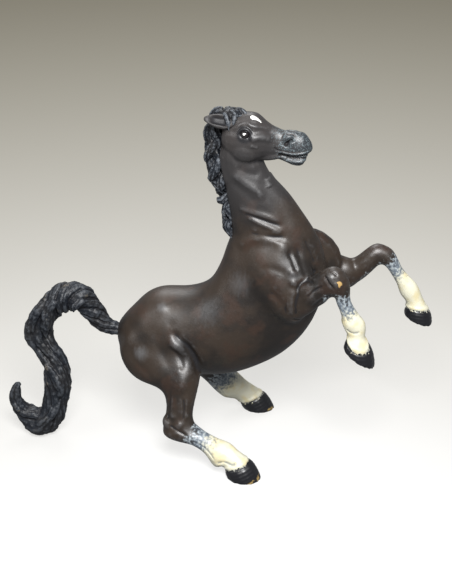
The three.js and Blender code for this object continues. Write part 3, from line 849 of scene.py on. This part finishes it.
FORELOCK_WISPS = [
    [(4.4, -1.6, 180.8, 1.2), (5.8, -4.6, 180, 1.4), (7, -7, 176.6, 1.2), (7.6, -7.8, 172.4, 0.7)],
    [(7, -0.6, 181.8, 1.3), (9.6, -3.2, 180.8, 1.3), (9.6, -5.8, 178.4, 1.1), (9, -7.4, 175, 0.6)],
    [(9, 1, 181.8, 1.4), (12.6, 0, 181.4, 1.3), (14.6, -1.2, 180, 1.1), (16, -1.8, 178.6, 0.6)],
    [(4.4, 2.4, 181.2, 1.3), (6, 6, 179.4, 1.4), (7.4, 8, 175.4, 1.2), (8, 8.4, 171.6, 0.7)],
    [(4.4, 0, 181.6, 1.6), (0.6, 0.6, 180.8, 1.6), (-2.4, 1, 178.6, 1.2), (-3.4, 1.4, 175.4, 0.7)],
]


UPPER_FALL_TOPS = [(1, 3, 172), (0, 3, 166), (0, 3.4, 160), (1, 3.6, 154), (2.4, 3.8, 148),
                   (4.4, 4, 142)]
LOWER_FALL_TOPS = [(7.6, 4, 133), (8, 4.4, 127), (9, 4.6, 121)]


def left_fall(tops, drop, back):
    """Locks that hang from the crest down the left side of the neck."""
    falls = []
    for index, (x, y, z) in enumerate(tops):
        lean = 1.4 * math.sin(index * 2.1)
        falls.append([(x, y, z, 2), (x - back + lean, y + 3.6, z - drop * 0.35, 2.3),
                      (x + 0.6 - lean, y + 5.6, z - drop * 0.7, 2.1),
                      (x + 3 + lean, y + 5.6, z - drop, 0.9)])
    return falls


def make_hair():
    """Every group of hair, by the CAD node that it stands for."""
    upper_falls = left_fall(UPPER_FALL_TOPS, 15, 2)
    lower_falls = left_fall(LOWER_FALL_TOPS, 12, 0.6)
    return {
        "tail": hair("tail_hair", TAIL_CORE, TAIL_VOXEL, TAIL_WISPS, 5, 0.2, TAIL_ROUGHNESS),
        "mane_upper": hair("mane_upper_hair", MANE_UPPER_CORE, MANE_VOXEL,
                           MANE_UPPER_WISPS + upper_falls, 4, 0.3),
        "mane_flying": hair("mane_flying_hair", MANE_FLYING_CORE, MANE_VOXEL, (), 3, 0.3),
        "mane_lower": hair("mane_lower_hair", MANE_LOWER_CORE, MANE_VOXEL,
                           MANE_LOWER_WISPS + lower_falls, 4, 0.3),
        "forelock": hair("forelock_hair", FORELOCK_CORE, MANE_VOXEL, FORELOCK_WISPS, 4, 0.26),
    }


# Ears and eyes

EAR_BASE = (10, 5.2, 176.5)
EAR_TIP = {RIGHT: (-4.7, -7, 179.3), LEFT: (-1.4, 8.2, 177)}
EAR_DEPTH = 4.0
EAR_WIDTH = 2.2
EAR_FLOOR = 0.55        # how far below the middle of the leaf its hollow goes
EAR_RIM = 0.28


def make_ear(side):
    """A leaf laid back, hollow on the side that looks out and up, with a rolled rim."""
    base = np.array(EAR_BASE) * (1, side, 1)
    tip = np.array(EAR_TIP[side])
    ahead = (tip - base) / np.linalg.norm(tip - base)
    out = np.array([0.1, 0.72 * side, 0.68])
    out = out - ahead * (out @ ahead)
    out /= np.linalg.norm(out)
    up = np.cross(ahead, out)
    deselect()
    bpy.ops.mesh.primitive_uv_sphere_add(segments=96, ring_count=64, radius=1)
    ear = bpy.context.view_layer.objects.active
    unit = points_of(ear) * MM
    t = (unit[:, 2] + 1) / 2
    blunt = (1.02 - (2 * t - 1) ** 2) ** -0.16
    leaf = blunt * (1 - 0.36 * smoothstep(0.5, 1, t)) * (0.62 + 0.3 * smoothstep(0, 0.35, t))
    long = np.linalg.norm(tip - base) / 2
    u = unit[:, 0] * EAR_WIDTH * leaf
    v = unit[:, 1] * EAR_DEPTH * leaf
    outer = unit[:, 0] > 0
    hollow = np.exp(-((t - 0.52) / 0.30) ** 4) * np.exp(-(v / (0.62 * EAR_DEPTH * leaf + 0.05)) ** 4)
    rim = np.exp(-((np.abs(v) / (EAR_DEPTH * leaf + 0.05) - 0.8) / 0.14) ** 2)
    u = u - np.where(outer, hollow * (u + EAR_FLOOR), 0)
    u = u + EAR_RIM * rim * outer
    place = (base + tip) / 2 + unit[:, 2:3] * long * ahead + u[:, None] * out + v[:, None] * up
    set_points(ear, place)
    relax(ear, 2)
    edit(ear, (bpy.ops.mesh.normals_make_consistent, {"inside": False}))
    mark_ridges(ear, 6, 0.06)
    set_attribute(ear, "hollow", hollow * outer)
    ear.name = ("ear_right" if side == RIGHT else "ear_left") + "_leaf"
    return ear


def make_eye(side):
    """An eyeball with a slightly raised cornea."""
    deselect()
    bpy.ops.mesh.primitive_uv_sphere_add(segments=48, ring_count=32, radius=EYE_RADIUS * MM)
    eye = bpy.context.view_layer.objects.active
    points = points_of(eye)
    looks = np.array([0.18, side * 0.96, 0.2])
    facing = (points / EYE_RADIUS) @ (looks / np.linalg.norm(looks))
    points *= (1 + CORNEA * smoothstep(0.8, 1, facing))[:, None]
    set_points(eye, points + np.array(EYE) * (1, side, 1))
    eye.name = "eye_right" if side == RIGHT else "eye_left"
    return eye


# Paint. Wire stands for a value on its way through a material, so that sums with it can be
# written as sums.

class Wire:
    def __init__(self, tree, socket):
        self.tree = tree
        self.socket = socket

    def node(self, kind, settings=None, inputs=None, output=0):
        """Adds any node: its settings first, then the values or wires of its sockets."""
        made = self.tree.nodes.new(kind)
        for setting, value in (settings or {}).items():
            setattr(made, setting, value)
        for key, value in (inputs or {}).items():
            if isinstance(value, Wire):
                self.tree.links.new(value.socket, made.inputs[key])
            else:
                made.inputs[key].default_value = value
        return Wire(self.tree, made.outputs[output])

    def math(self, operation, first, second=0.0):
        return self.node("ShaderNodeMath", {"operation": operation}, {0: first, 1: second})

    def __add__(self, other):
        return self.math("ADD", self, other)

    def __sub__(self, other):
        return self.math("SUBTRACT", self, other)

    def __mul__(self, other):
        return self.math("MULTIPLY", self, other)

    def __truediv__(self, other):
        return self.math("DIVIDE", self, other)

    def __rsub__(self, other):
        return self.math("SUBTRACT", other, self)

    __radd__ = __add__
    __rmul__ = __mul__

    def between(self, low, high):
        """0 below low, 1 above high and a smooth rise from one to the other."""
        return self.node("ShaderNodeMapRange", {"interpolation_type": "SMOOTHSTEP"},
                         {"Value": self, "From Min": low, "From Max": high})

    def noise(self, scale, detail=3.0, stretch=(1, 1, 1)):
        """Cloudy noise with its grain in millimetres, drawn out along the axes."""
        scaled = self.node("ShaderNodeMapping", {}, {"Vector": self, "Scale": stretch})
        return self.node("ShaderNodeTexNoise", {},
                         {"Vector": scaled, "Scale": 1000 / scale, "Detail": detail})

    def distance(self, point):
        """How far the place is from a point, in millimetres."""
        gap = self.node("ShaderNodeVectorMath", {"operation": "DISTANCE"},
                        {0: self, 1: [value * MM for value in point]}, "Value")
        return gap * 1000

    def attribute(self, name):
        return self.node("ShaderNodeAttribute", {"attribute_name": name}, output="Fac")


def blend(factor, under, over):
    """One colour over another, by a factor."""
    def full(colour):
        return colour if isinstance(colour, Wire) else (*colour, 1)
    return factor.node("ShaderNodeMix", {"data_type": "RGBA"},
                       {0: factor, 6: full(under), 7: full(over)}, 2)


def new_material(name):
    """A material with its shader and the place of each point in it."""
    material = bpy.data.materials.new(name)
    material.use_nodes = True
    tree = material.node_tree
    shader = tree.nodes["Principled BSDF"]
    place = Wire(tree, tree.nodes.new("ShaderNodeTexCoord").outputs["Object"])
    return material, shader, place


def feed(shader, place, colour, roughness, height, strength, **constants):
    """Links what varies over the surface to the shader, and sets the rest on its own sockets."""
    for name, value in (("Base Color", colour), ("Roughness", roughness)):
        place.tree.links.new(value.socket, shader.inputs[name])
    bump = place.node("ShaderNodeBump", {}, {"Height": height, "Strength": strength,
                                             "Distance": BUMP_HEIGHT * MM})
    place.tree.links.new(bump.socket, shader.inputs["Normal"])
    for name, value in constants.items():
        shader.inputs[name.replace("_", " ")].default_value = value


BUMP_HEIGHT = 0.2       # how far the roughness of a paint stands out
UMBER = (0.028, 0.019, 0.013)
DARK_UMBER = (0.011, 0.0085, 0.007)
RED_BROWN = (0.036, 0.019, 0.012)
HIGHLIGHT_GREY = (0.105, 0.105, 0.108)
GREY = (0.040, 0.038, 0.039)
NEAR_BLACK = (0.007, 0.007, 0.009)
SHADE_BLACK = (0.006, 0.006, 0.008)
IVORY = (0.62, 0.60, 0.47)
YELLOWED = (0.58, 0.50, 0.28)
SLATE = (0.12, 0.142, 0.168)
PALE_BLUE = (0.34, 0.38, 0.40)
BLUE_BLACK = (0.007, 0.009, 0.013)
SOOT = (0.011, 0.011, 0.012)
MANE_HIGHLIGHT = (0.14, 0.155, 0.175)
TAIL_HIGHLIGHT = (0.055, 0.061, 0.07)
OLD_GOLD = (0.42, 0.29, 0.10)
WHITE = (0.86, 0.85, 0.80)
MUZZLE_DARK = (0.020, 0.026, 0.031)
MUZZLE_PALE = (0.15, 0.19, 0.205)
IRIS_DARK = (0.004, 0.004, 0.005)
IRIS_BROWN = (0.014, 0.010, 0.009)
# Painted highlights: grey patches where the light falls brightest on the coat: x, y, z, radius and
# strength.
PAINTED_HIGHLIGHTS = [
    (-25.4, -12, 80, 4, 0.5),        # hip
    (-16.5, -21, 65.5, 4.4, 0.55),   # stifle
    (-35, -19, 57.4, 5.4, 0.6),      # buttock
    (-3, -21, 84, 12, 0.4),          # ribs
    (13, -18, 98, 9, 0.4),           # behind the shoulder
    (27, -17, 119.4, 7, 0.35),       # top of the shoulder
    (40, -18, 104.5, 3.4, 0.5),      # point of the shoulder
    (22.6, -6.4, 171.2, 2.6, 0.5),   # cheek bone
]
WORN_BRASS = (0.42, 0.27, 0.10)
BRIGHT_BRASS = (0.55, 0.38, 0.14)
DULL_BRASS = (0.36, 0.23, 0.09)
KNEE_CHIP = (63.3, -24.9, 105.1)
MIDDLE_OF_HEAD = (14, 0, 164)
RIGHT_LID = (15.1, -8.4, 172.3)
LEFT_LID = (15.1, 8.4, 172.3)
RIGHT_GLINT = (14.9, -9.2, 173.1)
LEFT_GLINT = (14.9, 9.2, 173.1)
COAT_GLOSS = {"Coat_Weight": 0.08, "Coat_Roughness": 0.35}
LEG_GLOSS = {"Coat_Weight": 0.1, "Coat_Roughness": 0.3}
EYE_GLOSS = {"Coat_Weight": 1.0, "Coat_Roughness": 0.05}


def coat_colour(place):
    """Brown paint in thin uneven coats, greyer on the head, dry-brushed blue-grey over the ridges as a
    painted highlight, with grey patches of painted highlight and painted shade near-black in the
    grooves. It comes with its grain and the ridges."""
    clouds = place.noise(20, 4)
    patches = place.noise(12, 4)
    grain = place.noise(1.6, 4)
    ridge = place.attribute("ridge")
    colour = blend(clouds.between(0.38, 0.62), DARK_UMBER, UMBER)
    colour = blend(patches.between(0.52, 0.68) * 0.65, colour, RED_BROWN)
    to_body = place.distance(MIDDLE_OF_HEAD).between(16, 48)
    colour = blend(to_body * 0.65 + 0.35, GREY, colour)
    # dry-brushed blue-grey on the ridges, which is also a painted highlight
    brushed = (ridge + (grain - 0.5) * 1.4).between(0.2, 1.2) * 0.3
    colour = blend(brushed, colour, HIGHLIGHT_GREY)
    streaks = place.noise(1.3, 5, (1, 1, 0.35))
    # painted highlights: grey patches with streaked edges where the light falls brightest
    for *middle, radius, strength in PAINTED_HIGHLIGHTS:
        near = radius - (place.distance(middle) + (streaks - 0.5) * radius * 0.7)
        colour = blend(near.between(0, radius * 0.9) * strength, colour, HIGHLIGHT_GREY)
    # painted shade: the grooves darkened towards near-black
    recess_shade = ((grain - 0.5) * 0.5 - ridge).between(0.2, 1.0) * 0.75
    return blend(recess_shade, colour, NEAR_BLACK), grain, ridge


def coat_paint():
    """The coat alone, for trunk and neck."""
    material, shader, place = new_material("coat_paint")
    colour, grain, _ = coat_colour(place)
    feed(shader, place, colour, grain * 0.24 + 0.32, place.noise(0.9, 4), 0.3, **COAT_GLOSS)
    return material


def ear_paint():
    """The coat, with painted shade that makes the hollow of the ear almost black."""
    material, shader, place = new_material("ear_paint")
    colour, grain, _ = coat_colour(place)
    # painted shade in the hollow of the ear
    colour = blend(place.attribute("hollow") * 0.9, colour, NEAR_BLACK)
    feed(shader, place, colour, grain * 0.24 + 0.45, grain, 0.3)
    return material


def leg_paint(name):
    """The coat down to a white sock with brushed edges, then a black hoof with worn bronze."""
    material, shader, place = new_material(name + "_paint")
    coat, grain, ridge = coat_colour(place)
    sock = place.attribute("sock")
    hoof = place.attribute("hoof")
    speckle = place.noise(1.3, 8)
    flecks = (speckle - 0.5) * 17 + (place.noise(6, 2) - 0.5) * 9
    blue = (sock + flecks).between(-1.0, 3.6)
    white = (sock + flecks).between(6.0, 14.0)
    tint = place.noise(5, 3).between(0.42, 0.68)
    cream = blend(tint * 0.75, IVORY, YELLOWED)
    # slate mottling in the white, heavier in the grooves as painted shade
    cream = blend(((speckle - 0.5) * 1.2 - ridge).between(0.15, 0.9) * 0.6, cream, SLATE)
    colour = blend(blue, coat, blend(speckle.between(0.42, 0.66), SLATE, PALE_BLUE))
    colour = blend(white, colour, cream)
    hairs = (place.noise(0.9, 3, (1, 1, 0.45)) - 0.5) * 4.2
    black = (hoof + hairs).between(-0.15, 0.15)
    colour = blend(black, colour, NEAR_BLACK)
    worn = (hoof + (grain - 0.5) * 3).between(7.8, 8.8) * place.noise(3.5, 3).between(0.54, 0.64)
    colour = blend(worn * 0.7, colour, OLD_GOLD)
    chip = (place.distance(KNEE_CHIP) + (grain - 0.5) * 3).between(0.9, 1.3)
    colour = blend(chip, WORN_BRASS, colour)
    roughness = grain * 0.14 + 0.36 - black * 0.06
    feed(shader, place, colour, roughness, speckle, 0.18, **LEG_GLOSS)
    return material


def head_paint():
    """The coat with a star on the forehead and a muzzle mottled in pale blue."""
    material, shader, place = new_material("head_paint")
    coat, grain, ridge = coat_colour(place)
    speckle = place.noise(0.7, 8)
    muzzle = place.attribute("muzzle")
    mottled = (muzzle + (speckle - 0.5) * 26).between(-1.0, 4.0)
    # the pale mottling stays out of the deepest grooves, which leaves painted shade at mouth and
    # nostrils
    mottled = mottled * (ridge + 0.75).between(0.1, 0.9) * 0.75
    skin_tone = blend(speckle.between(0.44, 0.7), MUZZLE_DARK, MUZZLE_PALE)
    colour = blend(mottled, coat, skin_tone)
    off_lids = place.distance(RIGHT_LID).between(3.0, 5.0)
    off_lids = off_lids * place.distance(LEFT_LID).between(3.0, 5.0)
    colour = blend(off_lids * 0.85 + 0.15, NEAR_BLACK, colour)
    off_star = place.attribute("star") + (place.noise(1.4, 2) - 0.5) * 0.7
    colour = blend(off_star.between(0.0, 0.18), WHITE, colour)
    feed(shader, place, colour, grain * 0.24 + 0.32, place.noise(0.7, 4), 0.3, **COAT_GLOSS)
    return material


def hair_paint(name, edge):
    """Blue-black paint, brushed grey on the locks as a painted highlight, with painted shade in the
    grooves, and rubbed through to the bronze in places.
    """
    material, shader, place = new_material(name)
    grain = place.noise(1.0, 4)
    ridge = place.attribute("ridge")
    # brushed grey on the ridges of the locks: a painted highlight
    brushed = (ridge + (grain - 0.5) * 1.4).between(0.2, 1.2)
    colour = blend(place.noise(9, 2).between(0.4, 0.65), BLUE_BLACK, SOOT)
    colour = blend(brushed * 0.6, colour, edge)
    # painted shade: the grooves between the locks darkened to black
    recess_shade = (0 - ridge).between(0.2, 1.0)
    colour = blend(recess_shade * 0.8, colour, SHADE_BLACK)
    rubbed = (ridge + (grain - 0.5) * 1.6).between(0.5, 1.3) * place.noise(6, 3).between(0.58, 0.7)
    colour = blend(rubbed * 0.16, colour, OLD_GOLD)
    feed(shader, place, colour, grain * 0.24 + 0.38, grain, 0.3, Specular_IOR_Level=0.35)
    return material


def eye_paint():
    """Glossy black with one painted glint on each eye."""
    material, shader, place = new_material("eye_paint")
    off_glint = place.distance(RIGHT_GLINT).between(0.5, 0.6)
    off_glint = off_glint * place.distance(LEFT_GLINT).between(0.5, 0.6)
    depth = place.noise(3, 2)
    colour = blend(off_glint, WHITE, blend(depth, IRIS_DARK, IRIS_BROWN))
    feed(shader, place, colour, depth * 0.05 + 0.10, depth, 0.02, **EYE_GLOSS)
    return material


def bare_brass():
    """Metal in the colour of cut brass, for the fixings inside."""
    material, shader, place = new_material("fixing_brass")
    grain = place.noise(1.2, 4)
    colour = blend(grain.between(0.4, 0.7), BRIGHT_BRASS, DULL_BRASS)
    feed(shader, place, colour, grain * 0.25 + 0.25, grain, 0.2, Metallic=1.0)
    return material


# Putting it together

# The star's middle line, as x, y, z and radius, and x, z and heading of where the muzzle starts
STAR = [(18.2, -3.4, 179.5, 1.0), (19.6, -3.3, 178.9, 0.85), (22.2, -3.5, 177.4, 0.3)]
MUZZLE_EDGE = (31.4, 164.5, 12)


def mark_head(piece):
    """Stores how far each point of the head is outside the star and past the muzzle's edge."""
    points = points_of(piece)
    star = np.full(len(points), np.inf)
    for x, y, z, radius in smooth_line(STAR):
        star = np.minimum(star, np.linalg.norm(points - np.array([x, y, z]), axis=1) - radius)
    set_attribute(piece, "star", star)
    set_attribute(piece, "muzzle", ahead_of(points, *MUZZLE_EDGE))


def mark_leg(piece, name):
    """Stores how far each point is down the sock and past the coronet."""
    points = points_of(piece)
    set_attribute(piece, "sock", ahead_of(points, *SOCKS[name]))
    set_attribute(piece, "hoof", beyond_coronet(points, name))


def dress(piece, material, slot, *nodes):
    """Gives a finished piece its paint and its place in the frame."""
    piece.data.materials.clear()
    piece.data.materials.append(material)
    activate(piece)
    bpy.ops.object.shade_smooth_by_angle(angle=math.radians(SMOOTH_ANGLE))
    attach(piece, "root")
    if nodes:
        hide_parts(*nodes)


coat = coat_paint()
mane_material = hair_paint("mane_paint", MANE_HIGHLIGHT)
tail_material = hair_paint("tail_paint", TAIL_HIGHLIGHT)
ear_material = ear_paint()
eye_material = eye_paint()
for name, piece in make_castings().items():
    if name in SOCKS:
        mark_leg(piece, name)
        dress(piece, leg_paint(name), "leg_paint", name)
    elif name == "head":
        mark_head(piece)
        dress(piece, head_paint(), "coat_paint", name)
    else:
        dress(piece, coat, "coat_paint", name)
for name, piece in make_hair().items():
    dress(piece, tail_material if name == "tail" else mane_material, "hair_paint", name)
for side, name in ((RIGHT, "ear_right"), (LEFT, "ear_left")):
    dress(make_ear(side), ear_material, "coat_paint", name)
    dress(make_eye(side), eye_material, "coat_paint")
brass = bare_brass()
for name in FIXINGS:
    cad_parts[name].material_slots[0].material = brass


# Camera, floor and light. From here on, distances are in metres, and angles in degrees.

CAMERA_AIM = Vector((0.0043, 0.0001, -0.0066))      # from the middle of the CAD box
CAMERA_AZIMUTH = 8
CAMERA_ELEVATION = 26
CAMERA_DISTANCE = 0.9
VIEW_HEIGHT = 0.292     # how much of the scene the camera takes in at that distance
SENSOR = 36             # in millimetres
ROOM_COLOUR = (0.95, 0.97, 1, 1)
ROOM_LIGHT = 0.26
# The brightest place of the floor in millimetres, how far round it the floor is as bright, and
# how far each colour goes from there before it has faded to 37%
BRIGHTEST_PLACE = (23, -129, 0)
BRIGHT_REACH = 60
FADES = {"Red": 600, "Green": 572, "Blue": 500}
FLOOR_GLOW = 0.8
FLOOR_PAINT = 0.2       # how pale its paint is, next to its glow

box_low, box_high = (Vector(corner) for corner in CAD_BOX)
aim = (box_low + box_high) / 2 + CAMERA_AIM


def look_from(azimuth, elevation, distance):
    """The place that far from the aim: azimuth 0 is the right side, and 90 is the front."""
    turn = math.radians(azimuth)
    rise = math.radians(elevation)
    back = Vector((math.sin(turn) * math.cos(rise), -math.cos(turn) * math.cos(rise), math.sin(rise)))
    return aim + back * distance


def aimed(thing, place):
    """Puts a camera or a light at a place and points it at the aim."""
    thing.location = place
    thing.rotation_euler = (aim - place).to_track_quat("-Z", "Y").to_euler()
    bpy.context.scene.collection.objects.link(thing)
    return thing


camera_data = bpy.data.cameras.new("camera")
camera_data.sensor_width = SENSOR
camera_data.lens = SENSOR * CAMERA_DISTANCE / VIEW_HEIGHT
camera = aimed(bpy.data.objects.new("camera", camera_data),
               look_from(CAMERA_AZIMUTH, CAMERA_ELEVATION, CAMERA_DISTANCE))
bpy.context.scene.camera = camera
bpy.context.scene.view_settings.view_transform = "Standard"


def softbox(name, azimuth, elevation, distance, size, power):
    """A round light, with its power in watts."""
    light = bpy.data.lights.new(name, "AREA")
    light.shape = "DISK"
    light.size = size
    light.energy = power
    aimed(bpy.data.objects.new(name, light), look_from(azimuth, elevation, distance))


softbox("key_light", 12, 46, 1.1, 0.5, 24)
softbox("fill_light", -60, 30, 1.3, 0.5, 3)
softbox("back_light", 200, 50, 1.3, 0.8, 8)


def floor_paint():
    """A glowing floor with a painted pool of light: white round the statuette, and greyer away from
    it.
    """
    material, shader, place = new_material("floor_paint")
    away = place.distance(BRIGHTEST_PLACE) - BRIGHT_REACH
    away = away.math("MAXIMUM", away, 0)
    fade = {name: away.math("EXPONENT", away / -reach) for name, reach in FADES.items()}
    glow = away.node("ShaderNodeCombineColor", {}, fade)
    paint = glow.node("ShaderNodeVectorMath", {"operation": "SCALE"}, {0: glow, "Scale": FLOOR_PAINT})
    place.tree.links.new(paint.socket, shader.inputs["Base Color"])
    place.tree.links.new(glow.socket, shader.inputs["Emission Color"])
    shader.inputs["Emission Strength"].default_value = FLOOR_GLOW
    shader.inputs["Roughness"].default_value = 0.9
    shader.inputs["Specular IOR Level"].default_value = 0.0
    return material


bpy.ops.mesh.primitive_plane_add(size=8, location=(0, 0, 0))
floor = bpy.context.view_layer.objects.active
floor.name = "floor"
floor.data.materials.append(floor_paint())
# The floor's glow stays off the statuette.
floor.visible_glossy = False
floor.visible_diffuse = False

world = bpy.data.worlds.new("studio")
bpy.context.scene.world = world
world.use_nodes = True
room = world.node_tree.nodes["Background"].inputs
room["Color"].default_value = ROOM_COLOUR
room["Strength"].default_value = ROOM_LIGHT
